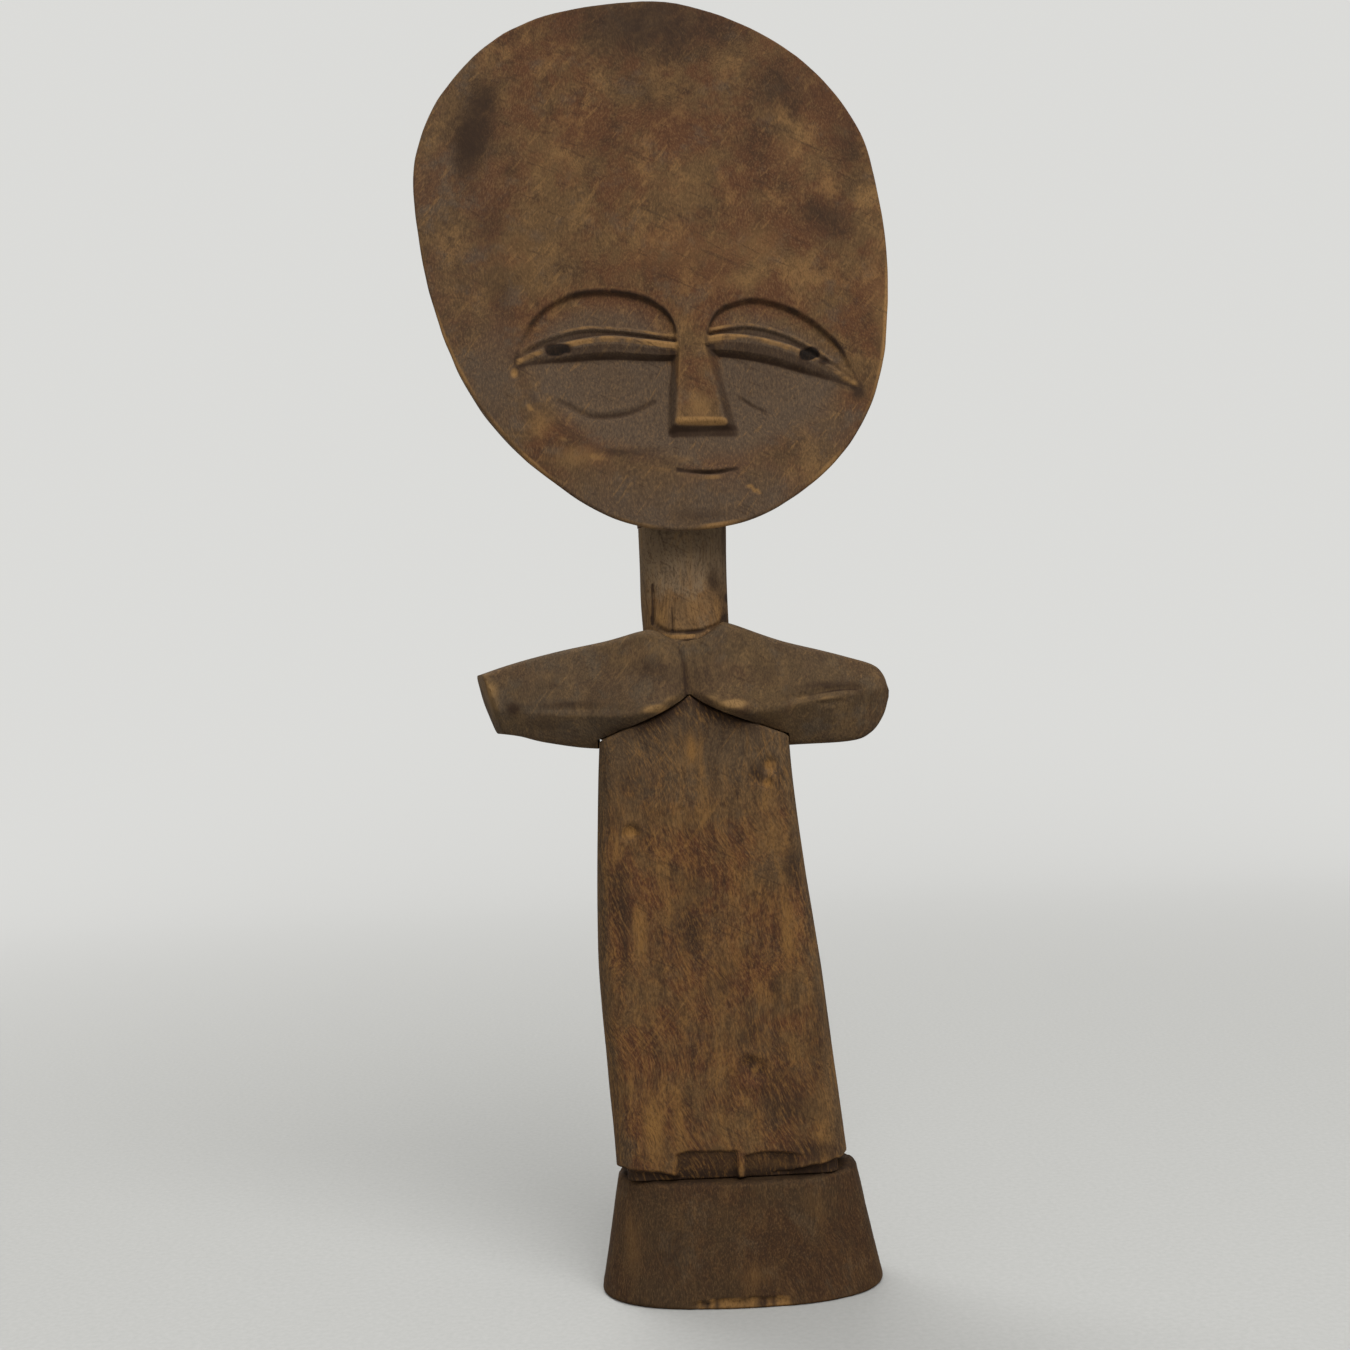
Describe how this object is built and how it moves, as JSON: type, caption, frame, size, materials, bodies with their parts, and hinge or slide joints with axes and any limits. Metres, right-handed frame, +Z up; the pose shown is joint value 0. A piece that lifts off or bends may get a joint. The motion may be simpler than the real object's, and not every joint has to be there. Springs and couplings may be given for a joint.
{
  "type": "wooden fertility doll",
  "caption": "Free-standing carved wooden doll: a flat oval head with a calm face on a round neck, stub arms, breasts, a flared body and an oval base; dark stained wood.",
  "frame": {"origin": "middle of the base's flat underside, on the surface that the doll stands on", "axes": "+Z up through the doll to the crown of its head; the face looks along -Y; +X is to the right for someone who looks at the face"},
  "size_m": [0.1177, 0.0412, 0.3274],
  "materials": {
    "head_wood": "brown stain, satin, worn along the carved edges",
    "neck_wood": "brown stain, satin",
    "yoke_wood": "dark brown stain, satin, worn along the ridges",
    "body_wood": "reddish brown stain, satin",
    "base_wood": "very dark brown stain, matt",
    "dowel_wood": "bare wood, hidden inside"
  },
  "bodies": {
    "root": {"head": "head_wood", "neck": "neck_wood", "yoke": "yoke_wood", "body": "body_wood", "base": "base_wood", "head_dowel": "dowel_wood", "spine_dowel": "dowel_wood", "foot_dowel_left": "dowel_wood", "foot_dowel_right": "dowel_wood"}
  },
  "joints": []
}
